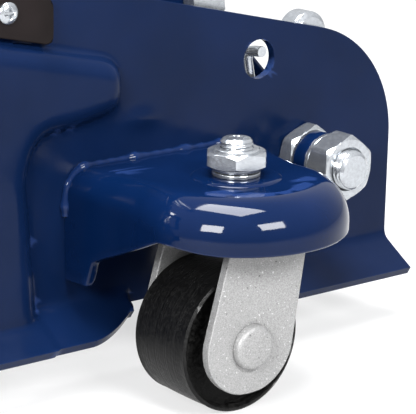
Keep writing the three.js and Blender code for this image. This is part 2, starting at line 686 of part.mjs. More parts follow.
function carryHandle() {
  const face = -PLATE_Y - GAP;
  const ends = LOOP_X.map((x) => [x, frontEdge(x) - 15]);
  const posts = ends.map(([x, z]) => box(x - 8, x + 8, face - LOOP_N + 8, face - 2, z - 6, z + 6));
  const bar = slab(strap(...ends[0], 8, ...ends[1], 8), face - LOOP_N, face - LOOP_N + 14);
  return join(bar, ...posts, ...pads(face - 4, face));
}

add('carry_handle', carryHandle(), blackPlastic);

export default jack;
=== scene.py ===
"""Looks of a hydraulic trolley jack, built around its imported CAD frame. Outlines are in millimetres."""
import json
import math

import bmesh
import bpy
from mathutils import Matrix, Vector


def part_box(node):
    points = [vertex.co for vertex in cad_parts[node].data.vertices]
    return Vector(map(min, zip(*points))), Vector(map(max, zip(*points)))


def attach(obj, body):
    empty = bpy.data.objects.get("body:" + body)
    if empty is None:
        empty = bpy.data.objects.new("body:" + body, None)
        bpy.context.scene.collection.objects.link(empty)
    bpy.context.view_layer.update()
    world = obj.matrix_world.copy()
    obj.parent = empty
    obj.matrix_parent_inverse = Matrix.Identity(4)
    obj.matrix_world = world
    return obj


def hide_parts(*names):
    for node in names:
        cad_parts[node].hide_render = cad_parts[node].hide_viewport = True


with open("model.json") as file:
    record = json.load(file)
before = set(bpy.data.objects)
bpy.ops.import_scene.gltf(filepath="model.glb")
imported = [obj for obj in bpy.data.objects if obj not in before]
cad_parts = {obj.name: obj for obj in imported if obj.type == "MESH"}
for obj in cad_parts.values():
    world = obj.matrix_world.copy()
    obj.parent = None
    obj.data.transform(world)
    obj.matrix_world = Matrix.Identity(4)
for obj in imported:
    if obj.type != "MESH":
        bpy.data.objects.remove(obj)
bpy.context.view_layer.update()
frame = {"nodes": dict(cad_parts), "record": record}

MM = 0.001
NODES = frame["nodes"]
BODY_OF = {node: body for body, nodes in frame["record"]["behaviour"]["bodies"].items() for node in nodes}
SLOT_OF = {part["node"]: part["material_slot"] for part in frame["record"]["subparts"]}
JOINTS = {joint["name"]: joint for joint in frame["record"]["behaviour"]["joints"]}
Y, Z = Vector((0, 1, 0)), Vector((0, 0, 1))


def pivot(joint):
    """A joint's position in millimetres."""
    return Vector(JOINTS[joint]["pos_m"]) / MM


def box(node):
    lo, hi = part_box(node)
    return lo / MM, hi / MM


def middle(node):
    lo, hi = box(node)
    return (lo + hi) / 2


SWIVEL = pivot("caster_swivel_left")
CASTER_AXLE = pivot("caster_roll_left")
YOKE = pivot("handle_pump")
HANDLE_AXIS = Vector(JOINTS["handle_twist"]["axis"]).normalized()
SADDLE_PIN = pivot("saddle_level")
PLATE_T = 4.0
PLATE_Y = -box("side_plate_left")[1].y + PLATE_T      # outer face of a side plate's web

# ---- camera, floor and lights ----
def add(name, data):
    obj = bpy.data.objects.new(name, data)
    bpy.context.scene.collection.objects.link(obj)
    return obj


CAMERA_AT = Vector((-0.2997, -0.7085, 0.2954))
CAMERA_RIGHT = Vector((0.7843, -0.6201, 0.0191))
CAMERA_UP = Vector((0.1506, 0.2202, 0.9638))
CAMERA_LENS = 168.8


def make_camera():
    data = bpy.data.cameras.new("camera")
    data.lens, data.sensor_width = CAMERA_LENS, 36
    data.clip_start, data.clip_end = 0.05, 50
    camera = add("camera", data)
    right = CAMERA_RIGHT.normalized()
    up = (CAMERA_UP - right * CAMERA_UP.dot(right)).normalized()
    turn = Matrix((right, up, right.cross(up))).transposed()
    camera.matrix_world = Matrix.Translation(CAMERA_AT) @ turn.to_4x4()
    bpy.context.scene.camera = camera


LIGHT_DISTANCE = 1.3


def soft_box(name, azimuth, elevation, width, height, power):
    a, e = math.radians(azimuth), math.radians(elevation)
    away = Vector((math.sin(a) * math.cos(e), -math.cos(a) * math.cos(e), math.sin(e)))
    data = bpy.data.lights.new(name, "AREA")
    data.shape, data.size, data.size_y = "RECTANGLE", width, height
    data.energy = power
    light = add(name, data)
    light.location = SWIVEL * MM + away * LIGHT_DISTANCE
    light.rotation_mode = "QUATERNION"
    light.rotation_quaternion = away.to_track_quat("Z", "Y")


def make_world():
    world = bpy.data.worlds.new("studio")
    world.use_nodes = True
    tree = world.node_tree
    coord = tree.nodes.new("ShaderNodeTexCoord")
    split = tree.nodes.new("ShaderNodeSeparateXYZ")
    ramp = tree.nodes.new("ShaderNodeValToRGB")
    tree.links.new(coord.outputs["Generated"], split.inputs[0])
    tree.links.new(split.outputs["Z"], ramp.inputs["Fac"])
    low, high = ramp.color_ramp.elements
    low.position, low.color = 0.0, (0.55, 0.56, 0.58, 1)
    high.position, high.color = 0.75, (0.90, 0.91, 0.93, 1)
    tree.links.new(ramp.outputs["Color"], tree.nodes["Background"].inputs["Color"])
    tree.nodes["Background"].inputs["Strength"].default_value = 1.0
    bpy.context.scene.world = world


def make_floor():
    size = 60.0
    mesh = bpy.data.meshes.new("floor")
    corners = [(-size, -size, 0), (size, -size, 0), (size, size, 0), (-size, size, 0)]
    mesh.from_pydata(corners, [], [(0, 1, 2, 3)])
    floor = add("floor", mesh)
    mat = bpy.data.materials.new("pale_floor")
    mat.use_nodes = True
    bsdf = mat.node_tree.nodes["Principled BSDF"]
    bsdf.inputs["Base Color"].default_value = (0.18, 0.18, 0.181, 1)
    bsdf.inputs["Roughness"].default_value = 0.75
    bsdf.inputs["Emission Color"].default_value = (1.0, 1.0, 1.0, 1)
    bsdf.inputs["Emission Strength"].default_value = 0.64
    mesh.materials.append(mat)


make_camera()
make_world()
make_floor()
soft_box("overhead", -75, 84, 0.90, 0.60, 54)
soft_box("left_box", -63, 27, 0.48, 0.36, 26)
soft_box("right_box", 2, 33, 0.56, 0.34, 26)
soft_box("side_strip", -118, 26, 0.16, 0.70, 16)
bpy.context.scene.view_settings.view_transform = "Standard"


# ---- materials ----
def principled(name, metallic=0.0, specular=0.5):
    mat = bpy.data.materials.new(name)
    mat.use_nodes = True
    tree = mat.node_tree
    bsdf = tree.nodes["Principled BSDF"]
    bsdf.inputs["Metallic"].default_value = metallic
    bsdf.inputs["Specular IOR Level"].default_value = specular
    return mat, tree, bsdf


def noise(tree, scale, detail=2.0, stretch=(1, 1, 1), vector=None):
    """Noise over the piece's own space; scale is in features per metre."""
    if vector is None:
        vector = tree.nodes.new("ShaderNodeTexCoord").outputs["Object"]
    mapping = tree.nodes.new("ShaderNodeMapping")
    mapping.inputs["Scale"].default_value = stretch
    texture = tree.nodes.new("ShaderNodeTexNoise")
    texture.inputs["Scale"].default_value = scale
    texture.inputs["Detail"].default_value = detail
    tree.links.new(vector, mapping.inputs["Vector"])
    tree.links.new(mapping.outputs["Vector"], texture.inputs["Vector"])
    return texture.outputs["Fac"]


def ramp(tree, value, low, high, start=0.35, end=0.65):
    """Colour from low to high as the value goes from start to end."""
    node = tree.nodes.new("ShaderNodeValToRGB")
    for element, position, colour in zip(node.color_ramp.elements, (start, end), (low, high)):
        element.position = position
        element.color = (*colour, 1) if isinstance(colour, tuple) else (colour, colour, colour, 1)
    tree.links.new(value, node.inputs["Fac"])
    return node.outputs["Color"]


def mix(tree, mask, low, high):
    """Low where the mask is 0, high where it is 1; high may be a colour."""
    node = tree.nodes.new("ShaderNodeMix")
    node.data_type = "RGBA"
    tree.links.new(mask, node.inputs[0])
    tree.links.new(low, node.inputs[6])
    if isinstance(high, tuple):
        node.inputs[7].default_value = (*high, 1)
    else:
        tree.links.new(high, node.inputs[7])
    return node.outputs[2]


def bump(tree, bsdf, height, depth, strength=1.0):
    """Adds a bump, depth in millimetres, on top of those the shader already has."""
    node = tree.nodes.new("ShaderNodeBump")
    node.inputs["Distance"].default_value = depth * MM
    node.inputs["Strength"].default_value = strength
    tree.links.new(height, node.inputs["Height"])
    if bsdf.inputs["Normal"].is_linked:
        tree.links.new(bsdf.inputs["Normal"].links[0].from_socket, node.inputs["Normal"])
    tree.links.new(node.outputs["Normal"], bsdf.inputs["Normal"])


def math_node(tree, operation, first, second=None):
    node = tree.nodes.new("ShaderNodeMath")
    node.operation = operation
    for socket, value in zip(node.inputs, (first, second)):
        if isinstance(value, (int, float)):
            socket.default_value = value
        elif value is not None:
            tree.links.new(value, socket)
    return node.outputs[0]


def painted_edge_highlight(tree, colour, bright, start=0.52, end=0.60):
    """Painted edge highlight: lighter colour where the surface turns sharply outwards."""
    geometry = tree.nodes.new("ShaderNodeNewGeometry")
    mask = ramp(tree, geometry.outputs["Pointiness"], 0.0, 1.0, start, end)
    return mix(tree, mask, colour, bright)


def enamel(name, low, high, rough, peel, specular=0.14):
    """Baked enamel with orange peel, and a painted highlight along sharp outward edges."""
    mat, tree, bsdf = principled(name, specular=specular)
    colour = ramp(tree, noise(tree, 22, 3), low, high)
    # painted highlight: a lighter blue laid along sharp outward edges
    edge_highlight = tuple(min(1.0, channel * 2.2 + 0.004) for channel in high)
    tree.links.new(painted_edge_highlight(tree, colour, edge_highlight), bsdf.inputs["Base Color"])
    tree.links.new(ramp(tree, noise(tree, 70, 3), rough[0], rough[1]), bsdf.inputs["Roughness"])
    bump(tree, bsdf, noise(tree, 70, 1), peel)
    bump(tree, bsdf, noise(tree, 900, 1), peel * 0.03)
    return mat


def plated(name, low, high, rough, grain, speckle, metallic=1.0):
    """Zinc plating with a fine grain and cloudy tone."""
    mat, tree, bsdf = principled(name, metallic=metallic)
    cloudy = ramp(tree, noise(tree, 120, 4), low, high, 0.3, 0.7)
    fine = ramp(tree, noise(tree, speckle, 2), low, high, 0.38, 0.62)
    mask = ramp(tree, noise(tree, 45, 2), 0.35, 0.75, 0.2, 0.8)
    tree.links.new(mix(tree, mask, cloudy, fine), bsdf.inputs["Base Color"])
    tree.links.new(ramp(tree, noise(tree, speckle * 0.5, 3), rough[0], rough[1]), bsdf.inputs["Roughness"])
    bump(tree, bsdf, noise(tree, speckle, 2), grain)
    return mat


def matt_zinc(name):
    """Pale galvanised finish: fine grey grain with sparse pale spots that are painted glints, and a few dark
    specks.
    """
    mat, tree, bsdf = principled(name, metallic=0.35)
    grain = ramp(tree, noise(tree, 2200, 2), (0.175, 0.175, 0.176), (0.272, 0.272, 0.27), 0.35, 0.65)
    # painted glints: sparse pale spots put into the base colour
    painted_glints = mix(tree, ramp(tree, noise(tree, 900, 2), 0.0, 1.0, 0.66, 0.74), grain, (0.50, 0.50, 0.50))
    specks = mix(tree, ramp(tree, noise(tree, 650, 3), 1.0, 0.0, 0.26, 0.33), painted_glints, (0.08, 0.08, 0.08))
    tree.links.new(specks, bsdf.inputs["Base Color"])
    tree.links.new(ramp(tree, noise(tree, 700, 3), 0.36, 0.62), bsdf.inputs["Roughness"])
    bump(tree, bsdf, noise(tree, 1600, 2), 0.12)
    return mat


def turned_black(name):
    """Black wheel: turning lines on tread and rim edge, rough casting inside the rim, and a painted highlight
    along the rim's sharp edges.
    """
    mat, tree, bsdf = principled(name, specular=0.15)
    coord = tree.nodes.new("ShaderNodeTexCoord")
    split = tree.nodes.new("ShaderNodeSeparateXYZ")
    tree.links.new(coord.outputs["Object"], split.inputs[0])
    square = math_node(tree, "ADD", math_node(tree, "POWER", split.outputs["X"], 2.0),
                       math_node(tree, "POWER", split.outputs["Z"], 2.0))
    radius = math_node(tree, "SQRT", square)
    rings = tree.nodes.new("ShaderNodeCombineXYZ")
    tree.links.new(math_node(tree, "ADD", radius, split.outputs["Y"]), rings.inputs["X"])
    lines = noise(tree, 900, 4, vector=rings.outputs[0])
    patches = noise(tree, 60, 3)
    pits = noise(tree, 620, 4)
    outer = ramp(tree, radius, 0.0, 1.0, 0.0276, 0.0284)
    tread = ramp(tree, lines, (0.0008, 0.0008, 0.0009), (0.0065, 0.0065, 0.0068), 0.3, 0.75)
    casting = ramp(tree, pits, (0.0003, 0.0003, 0.0003), (0.0110, 0.0110, 0.0105), 0.45, 0.75)
    colour = mix(tree, outer, casting, tread)
    # painted highlight: grey laid along the rim's sharp edges
    tree.links.new(painted_edge_highlight(tree, colour, (0.10, 0.10, 0.10), 0.56, 0.62), bsdf.inputs["Base Color"])
    smooth = ramp(tree, patches, 0.24, 0.40)
    matt = ramp(tree, pits, 0.5, 0.85)
    tree.links.new(mix(tree, outer, matt, smooth), bsdf.inputs["Roughness"])
    bump(tree, bsdf, mix(tree, outer, pits, lines), 0.5)
    bump(tree, bsdf, noise(tree, 300, 2), 0.05)
    return mat


def moulded(name, low, high, rough, grain, scale, specular):
    """Black rubber or plastic with a moulded grain and a little pale dust."""
    mat, tree, bsdf = principled(name, specular=specular)
    tree.links.new(ramp(tree, noise(tree, 35, 4), low, high), bsdf.inputs["Base Color"])
    tree.links.new(ramp(tree, noise(tree, 200, 3), rough[0], rough[1]), bsdf.inputs["Roughness"])
    bump(tree, bsdf, noise(tree, scale, 2), grain)
    return mat


SLOTS = {
    "blue_paint": enamel("blue_enamel", (0.0005, 0.0042, 0.0200), (0.0010, 0.0056, 0.0260),
                         (0.04, 0.08), 0.14, 0.17),
    "dark_blue_casting": enamel("cast_enamel", (0.0008, 0.005, 0.021), (0.0016, 0.007, 0.028),
                                (0.22, 0.4), 0.5),
    "zinc_plating": plated("bright_zinc", (0.36, 0.378, 0.40), (0.455, 0.477, 0.503),
                           (0.16, 0.25), 0.003, 700, 0.90),
    "zinc_matt": matt_zinc("matt_zinc"),
    "black_wheel": turned_black("turned_black"),
    "bare_steel": plated("oiled_steel", (0.26, 0.26, 0.27), (0.48, 0.48, 0.49), (0.22, 0.42), 0.02, 700),
    "hard_chrome": plated("hard_chrome", (0.50, 0.51, 0.53), (0.62, 0.63, 0.65), (0.06, 0.14), 0.004, 1200),
    "black_rubber": moulded("black_rubber", (0.010, 0.010, 0.010), (0.022, 0.021, 0.021),
                            (0.6, 0.85), 0.12, 900, 0.15),
    "black_plastic": moulded("black_plastic", (0.0045, 0.0034, 0.0034), (0.0075, 0.0056, 0.0056),
                             (0.38, 0.5), 0.03, 1300, 0.07),
}
PRESSED_ENAMEL = enamel("pressed_enamel", (0.0011, 0.0048, 0.0196), (0.0018, 0.0064, 0.026),
                        (0.14, 0.24), 0.30, 0.10)


# ---- mesh tools ----
def piece(name, verts, faces, nodes, body=None, slot=None, origin=None, sharp=32, bevel=0.0):
    """A piece from millimetre vertices. It stands for the CAD nodes, and takes their body and finish."""
    nodes = [nodes] if isinstance(nodes, str) else list(nodes)
    origin = Vector((0, 0, 0)) if origin is None else Vector(origin)
    mesh = bpy.data.meshes.new(name)
    mesh.from_pydata([(Vector(v) - origin) * MM for v in verts], [], faces)
    mesh.validate()
    mesh.shade_smooth()
    mesh.set_sharp_from_angle(angle=math.radians(sharp))
    obj = add(name, mesh)
    obj.location = origin * MM
    slot = slot or SLOT_OF[nodes[0]]
    mesh.materials.append(SLOTS[slot])
    if bevel:
        round_edges(obj, bevel)
    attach(obj, body or BODY_OF[nodes[0]])
    if nodes:
        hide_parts(*nodes)
    return obj


def round_edges(obj, width, angle=40, clamp=False):
    modifier = obj.modifiers.new("round_edges", "BEVEL")
    modifier.width, modifier.segments = width * MM, 2
    modifier.limit_method, modifier.angle_limit = "ANGLE", math.radians(angle)
    modifier.use_clamp_overlap = clamp
    modifier.harden_normals = True


def thicken(obj, thickness):
    """Gives a surface a sheet's thickness, on the side away from its normals."""
    modifier = obj.modifiers.new("sheet", "SOLIDIFY")
    modifier.thickness, modifier.offset = thickness * MM, -1


def grid_faces(rows, columns, wrap=False):
    """Quads over rows of equally many points; wrap closes each row."""
    last = columns if wrap else columns - 1
    return [(r * columns + c, r * columns + (c + 1) % columns,
             (r + 1) * columns + (c + 1) % columns, (r + 1) * columns + c)
            for r in range(rows - 1) for c in range(last)]


def flipped(verts, faces):
    """Mirror image in Y, with the faces turned over again."""
    return [(x, -y, z) for x, y, z in verts], [tuple(reversed(face)) for face in faces]


def quadratic(a, b, c, t):
    """Point at t of the curve from a to c, drawn towards b."""
    return a * (1 - t) ** 2 + b * 2 * t * (1 - t) + c * t ** 2


def quarter(steps, first=0):
    """Angles of a quarter turn, in radians."""
    return [math.pi / 2 * i / steps for i in range(first, steps + 1)]


def soften(points, radius, closed=True, steps=4):
    """The same outline with each corner rounded."""
    count, out = len(points), []
    for i, point in enumerate(points):
        here = Vector(point)
        if not closed and i in (0, count - 1):
            out.append(tuple(here))
            continue
        before, after = Vector(points[i - 1]) - here, Vector(points[(i + 1) % count]) - here
        cut = min(radius, before.length * 0.49, after.length * 0.49)
        a, b = here + before.normalized() * cut, here + after.normalized() * cut
        out += [tuple(quadratic(a, here, b, k / steps)) for k in range(steps + 1)]
    return out


def revolve(profile, centre, axis, sides=64, closed=False, radius_at=None):
    """Turns (radius, height) points about an axis. radius_at may change a ring's points by angle."""
    place = Matrix.Translation(centre) @ Vector(axis).to_track_quat("Z", "Y").to_matrix().to_4x4()
    verts = []
    for r, h in profile:
        for i in range(sides):
            turn = 2 * math.pi * i / sides
            rr, hh = radius_at(r, h, turn) if radius_at else (r, h)
            verts.append(tuple(place @ Vector((rr * math.cos(turn), rr * math.sin(turn), hh))))
    faces = grid_faces(len(profile), sides, wrap=True)
    if closed:
        base = (len(profile) - 1) * sides
        faces += [(base + i, base + (i + 1) % sides, (i + 1) % sides, i) for i in range(sides)]
    else:
        verts += [tuple(place @ Vector((0, 0, end[1]))) for end in (profile[0], profile[-1])]
        first, last, base = len(verts) - 2, len(verts) - 1, (len(profile) - 1) * sides
        faces += [(first, (i + 1) % sides, i) for i in range(sides)]
        faces += [(last, base + i, base + (i + 1) % sides) for i in range(sides)]
    return verts, faces


def joined(*meshes):
    """Several meshes as one list of vertices and faces."""
    verts, faces = [], []
    for some_verts, some_faces in meshes:
        base = len(verts)
        verts += some_verts
        faces += [tuple(base + i for i in face) for face in some_faces]
    return verts, faces


def slab(outline, y0, y1):
    """A flat plate with an outline in X and Z, from y0 to y1."""
    bm = bmesh.new()
    ring = [bm.verts.new((x, y0, z)) for x, z in outline]
    for i, vert in enumerate(ring):
        bm.edges.new((vert, ring[(i + 1) % len(ring)]))
    bmesh.ops.triangle_fill(bm, use_beauty=True, use_dissolve=False, edges=bm.edges[:])
    made = bmesh.ops.extrude_face_region(bm, geom=bm.faces[:])
    far = [v for v in made["geom"] if isinstance(v, bmesh.types.BMVert)]
    bmesh.ops.translate(bm, vec=(0, y1 - y0, 0), verts=far)
    bmesh.ops.recalc_face_normals(bm, faces=bm.faces)
    bm.verts.index_update()
    mesh = [tuple(v.co) for v in bm.verts], [tuple(v.index for v in f.verts) for f in bm.faces]
    bm.free()
    return mesh


def arc(x, z, radius, start, end, steps=24):
    """Points of an arc, angles in radians."""
    return [(x + radius * math.cos(start + (end - start) * i / steps),
             z + radius * math.sin(start + (end - start) * i / steps)) for i in range(steps + 1)]


def tube(path, radius, sides, radius_at=None):
    """A round bar along a path, closed at both ends."""
    points = [Vector(p) for p in path]
    verts, side = [], None
    for i, here in enumerate(points):
        ahead = (points[min(i + 1, len(points) - 1)] - points[max(i - 1, 0)]).normalized()
        if side is None:
            side = ahead.orthogonal().normalized()
        side = (side - ahead * side.dot(ahead)).normalized()
        up = ahead.cross(side)
        r = radius_at(i) if radius_at else radius
        for k in range(sides):
            turn = 2 * math.pi * k / sides
            verts.append(tuple(here + side * (r * math.cos(turn)) + up * (r * math.sin(turn))))
    faces = grid_faces(len(points), sides, wrap=True)
    verts += [tuple(points[0]), tuple(points[-1])]
    base, first = (len(points) - 1) * sides, len(verts) - 2
    faces += [(first, (k + 1) % sides, k) for k in range(sides)]
    faces += [(first + 1, base + k, base + (k + 1) % sides) for k in range(sides)]
    return verts, faces


def smooth_path(points, steps=8):
    """A smooth curve through the points."""
    pts = [Vector(p) for p in points]
    pts = [pts[0] * 2 - pts[1], *pts, pts[-1] * 2 - pts[-2]]
    out = []
    for i in range(1, len(pts) - 2):
        a, b, c, d = pts[i - 1:i + 3]
        for k in range(steps):
            t = k / steps
            out.append(0.5 * ((2 * b) + (c - a) * t + (2 * a - 5 * b + 4 * c - d) * t ** 2
                              + (3 * b - a - 3 * c + d) * t ** 3))
    return [*out, pts[-2]]


def smoothstep(value, start, end):
    t = min(max((value - start) / (end - start), 0.0), 1.0)
    return t * t * (3 - 2 * t)


def span(node, axis):
    """Centre of a round CAD node, its half length along the axis, and its radius."""
    centre = middle(node)
    offsets = [v.co / MM - centre for v in NODES[node].data.vertices]
    along = [p.dot(axis) for p in offsets]
    radius = max((p - axis * a).length for p, a in zip(offsets, along))
    return centre, max(along), radius


def rounded_bar(half, radius, chamfer=0.8):
    """Profile of a solid round bar with chamfered ends."""
    return soften([(radius - chamfer, -half), (radius, -half + chamfer), (radius, half - chamfer),
                   (radius - chamfer, half)], chamfer * 0.4, closed=False)


def thread(radius, z0, z1, pitch, end_chamfer=1.3):
    """Rings of a thread about Z: a helical groove that fades into the chamfered end at z1."""
    count = int((z1 - z0) / (pitch / 7))
    rings = [(radius, z0 + (z1 - z0) * k / count) for k in range(count + 1)]

    def groove(r, z, turn):
        depth = 0.5 * pitch * (0.5 - 0.5 * math.cos(2 * math.pi * (z / pitch - turn / (2 * math.pi))))
        inside = radius - end_chamfer + max(z1 - z, 0) * 1.1
        return min(r - depth * 0.75, inside), z
    return rings, groove


def nut(flats, height, bore, centre, axis, turn):
    """A hexagon nut from its centre point upwards along the axis, chamfered at both ends."""
    circle_r = flats / 2 * 0.985
    slope, sink = math.tan(math.radians(30)), 0.9

    def corner(angle):
        folded = (angle - turn + math.pi / 6) % (math.pi / 3) - math.pi / 6
        return flats / 2 / math.cos(folded)

    def shape(r, h, angle):
        if r:
            return r, h
        reach = corner(angle)
        drop = max(reach - circle_r, 0) * slope + 0.15
        return reach, (drop if h < height / 2 else height - drop)
    profile = [(bore, sink), (bore + sink, 0), (circle_r, 0), (0, 1), (0, height - 1), (circle_r, height),
               (bore + sink, height), (bore, height - sink)]
    return revolve(profile, centre, axis, 72, closed=True, radius_at=shape)


# ---- side plates ----
TOP_Z, TOP_SLOPE = 160.4, 0.2205         # top edge above the swivel axis, and its fall per millimetre
PEAK_X, FRONT_SLOPE = 80.0, 0.3
CORNER_R = 56.0
REAR_X = box("side_plate_left")[1].x
FRONT_AXLE = pivot("front_roll_left")
NOSE_R = 27.0
FLANGE_START = -225.0
FLANGE_N = 20.4
BEND_Z, BEND_R, BEND_DROP = 40.5, 6.0, math.radians(59.2)
HOLE_X, HOLE_Z, HOLE_R = SWIVEL.x + 52.1, 130.2, 8.8
PANEL_N = 8.0


def top_edge(x):
    return TOP_Z - TOP_SLOPE * (x - SWIVEL.x)


def front_edge(x):
    return top_edge(PEAK_X) - FRONT_SLOPE * (PEAK_X - x)


def plate_top(x):
    """Z of the plate's upper edge between the front slope and the rear corner."""
    slope = math.atan(TOP_SLOPE)
    corner_x = REAR_X - CORNER_R
    corner_z = top_edge(corner_x) - CORNER_R / math.cos(slope)
    if x > corner_x + CORNER_R * math.sin(slope):
        return corner_z + math.sqrt(max(CORNER_R ** 2 - (x - corner_x) ** 2, 0))
    if x > PEAK_X + 25:
        return top_edge(x)
    if x < PEAK_X - 25:
        return front_edge(x)
    return quadratic(front_edge(PEAK_X - 25), top_edge(PEAK_X), top_edge(PEAK_X + 25), (x - PEAK_X + 25) / 50)


def panel_outline():
    under, c = 26.6, SWIVEL.x
    corners = [(c - 24, top_edge(c - 24) - under), (c - 23, 117), (c - 46, 112), (c - 66, 110), (c - 71, 96),
               (c - 66, 28), (-168, 28), (-176, 50), (-176, front_edge(-176) - under),
               (PEAK_X - 20, front_edge(PEAK_X - 20) - under), (PEAK_X + 20, top_edge(PEAK_X + 20) - under)]
    return soften(corners, 10, steps=5)


PANEL = panel_outline()


def inside_distance(x, z, outline):
    """Distance to the outline, positive inside it."""
    nearest, inside = 1e9, False
    for i, (x1, z1) in enumerate(outline):
        x0, z0 = outline[i - 1]
        dx, dz = x1 - x0, z1 - z0
        t = min(max(((x - x0) * dx + (z - z0) * dz) / (dx * dx + dz * dz), 0), 1)
        nearest = min(nearest, math.hypot(x - x0 - t * dx, z - z0 - t * dz))
        if (z0 > z) != (z1 > z) and x < x0 + (z - z0) * dx / dz:
            inside = not inside
    return nearest if inside else -nearest


def raised(x, z):
    if x > SWIVEL.x - 24:
        return 1.1 * math.exp(-((x - SWIVEL.x + 12) / 8) ** 2 - ((z - 111.5) / 4) ** 2)
    t = min(max((inside_distance(x, z, PANEL) + 1.0) / 10.5, 0.0), 1.0)
    return PANEL_N * (1 - (1 - t) ** 2.2) * smoothstep(t, 0.0, 0.3)


def flange_reach(x):
    """How far out the flange goes: it is cut back around the caster."""
    away = abs(x - SWIVEL.x)
    if away >= 48.3:
        return FLANGE_N
    if away >= 24:
        t = (away - 24) / 24.3
        return 11 + (FLANGE_N - 11) * (1 - (1 - t) ** 1.6)
    return 11 * smoothstep(away, 16.5, 21.5)


def flange_point(run):
    """(N, Z) on the flange's upper face, a run beyond the bend's start."""
    turned = min(run / BEND_R, BEND_DROP)
    n, z = BEND_R * (1 - math.cos(turned)), BEND_Z - BEND_R * math.sin(turned)
    straight = max(run - BEND_R * BEND_DROP, 0)
    return n + straight * math.sin(BEND_DROP), z - straight * math.cos(BEND_DROP)


def flange_run(reach):
    """Run that brings the flange out to a reach."""
    bend_n = BEND_R * (1 - math.cos(BEND_DROP))
    if reach <= bend_n:
        return BEND_R * math.acos(1 - reach / BEND_R)
    return BEND_R * BEND_DROP + (reach - bend_n) / math.sin(BEND_DROP)


def columns_x():
    """X of the plate's grid lines, closer together where the shape turns, with lines at the hole's edges."""
    stops = [(FLANGE_START, 4.0), (90.0, 2.0), (HOLE_X - 8, 1.6), (HOLE_X + 8, 2.0), (REAR_X - 30, None)]
    xs = []
    for (start, step), (end, _) in zip(stops, stops[1:]):
        count = max(1, round((end - start) / step))
        xs += [start + (end - start) * i / count for i in range(count)]
    sweep = math.acos((CORNER_R - 30) / CORNER_R)
    corner_x = REAR_X - CORNER_R
    xs += [corner_x + CORNER_R * math.cos(sweep * (1 - i / 20)) for i in range(21)]
    return xs


def around_hole(x, z):
    """Grid points near the inspection hole, drawn onto circles round it."""
    dx, dz = x - HOLE_X, z - HOLE_Z
    square, block, reach = max(abs(dx), abs(dz)), 8.0, 12.0
    if square >= reach:
        return x, z
    if square < block - 1e-3:
        pull = HOLE_R * square / block / max(math.hypot(dx, dz), 1e-6)
        return HOLE_X + dx * pull, HOLE_Z + dz * pull
    t = (square - block) / (reach - block)
    pull = (HOLE_R / math.hypot(dx, dz)) * (1 - t) + t
    return HOLE_X + dx * pull, HOLE_Z + dz * pull


WEB_ROWS, FLANGE_ROWS = 78, 14


def web_heights(x, top):
    """Z of a column's web rows; they are level around the hole."""
    level = plate_top(HOLE_X)
    fade = 1 - smoothstep(abs(x - HOLE_X), 13, 40)
    flat_top = top + (level - top) * fade
    knots = [(0, BEND_Z), (54, HOLE_Z - 8), (68, HOLE_Z + 8), (72, HOLE_Z + 12), (WEB_ROWS, level)]
    out = []
    for j in range(WEB_ROWS + 1):
        for (j0, z0), (j1, z1) in zip(knots, knots[1:]):
            if j <= j1:
                share = (z0 + (z1 - z0) * (j - j0) / (j1 - j0) - BEND_Z) / (level - BEND_Z)
                break
        z = BEND_Z + share * (flat_top - BEND_Z)
        rest = max(j - 72, 0) / (WEB_ROWS - 72)
        out.append(z + (top - flat_top) * rest)
    return out


def rear_columns():
    """Columns of (x, n, z) from the top edge down to the flange's tip."""
    rows = []
    for x in columns_x():
        column = []
        for z in reversed(web_heights(x, plate_top(x))):
            xx, zz = around_hole(x, z)
            column.append((xx, raised(xx, zz), zz))
        reach = flange_reach(x)
        run = flange_run(reach) if reach > 0.05 else 0.0
        for j in range(1, FLANGE_ROWS + 1):
            t = j / FLANGE_ROWS
            n, z = flange_point(run * t)
            straight = BEND_Z - t * 9.5
            lean = smoothstep(reach, 0, 11)
            n, z = n * lean, z * lean + straight * (1 - lean)
            panel = raised(x, max(z, 34))
            n = (n + panel + math.sqrt((n - panel) ** 2 + 9)) / 2
            column.append((x, max(n - 1.5, 0.0) if panel < 0.5 else n - 0.25, z))
        rows.append(column)
    return rows


def nose_columns():
    """Columns of the nose round the front axle, ruled between its upper and lower edges."""
    start, bottom = (FLANGE_START, front_edge(FLANGE_START)), FRONT_AXLE.z - NOSE_R
    ends = start, (-262, 80), (FRONT_AXLE.x + 4.2, FRONT_AXLE.z + 26.7)
    top = [start] + [tuple(quadratic(a, b, c, i / 10) for a, b, c in zip(*ends)) for i in range(1, 11)]
    top += arc(FRONT_AXLE.x, FRONT_AXLE.z, NOSE_R, math.pi * 0.45, math.pi * 0.985, 16)[1:]
    low_line = [(FLANGE_START, 31), (-229, 31), (-255, bottom), (FRONT_AXLE.x, bottom)]
    low_line = soften(low_line, 10, closed=False)
    low_line += arc(FRONT_AXLE.x, FRONT_AXLE.z, NOSE_R, math.pi * 1.5, math.pi * 1.015, 12)[1:]
    low = resample(low_line, len(top))
    total = WEB_ROWS + FLANGE_ROWS
    columns = [[(x0 + (x1 - x0) * j / total, 0.0, z0 + (z1 - z0) * j / total) for j in range(total + 1)]
               for (x0, z0), (x1, z1) in zip(top[1:], low[1:])]
    return [column for column in columns if column[0][0] > FRONT_AXLE.x - NOSE_R]


def resample(line, count):
    """The line as count evenly spaced points."""
    pts = [Vector(p) for p in line]
    lengths = [0.0]
    for a, b in zip(pts, pts[1:]):
        lengths.append(lengths[-1] + (b - a).length)
    out, k = [], 0
    for i in range(count):
        want = lengths[-1] * i / (count - 1)
        while k < len(pts) - 2 and lengths[k + 1] < want:
            k += 1
        t = (want - lengths[k]) / max(lengths[k + 1] - lengths[k], 1e-9)
        out.append(tuple(pts[k].lerp(pts[k + 1], min(t, 1.0))))
    return out


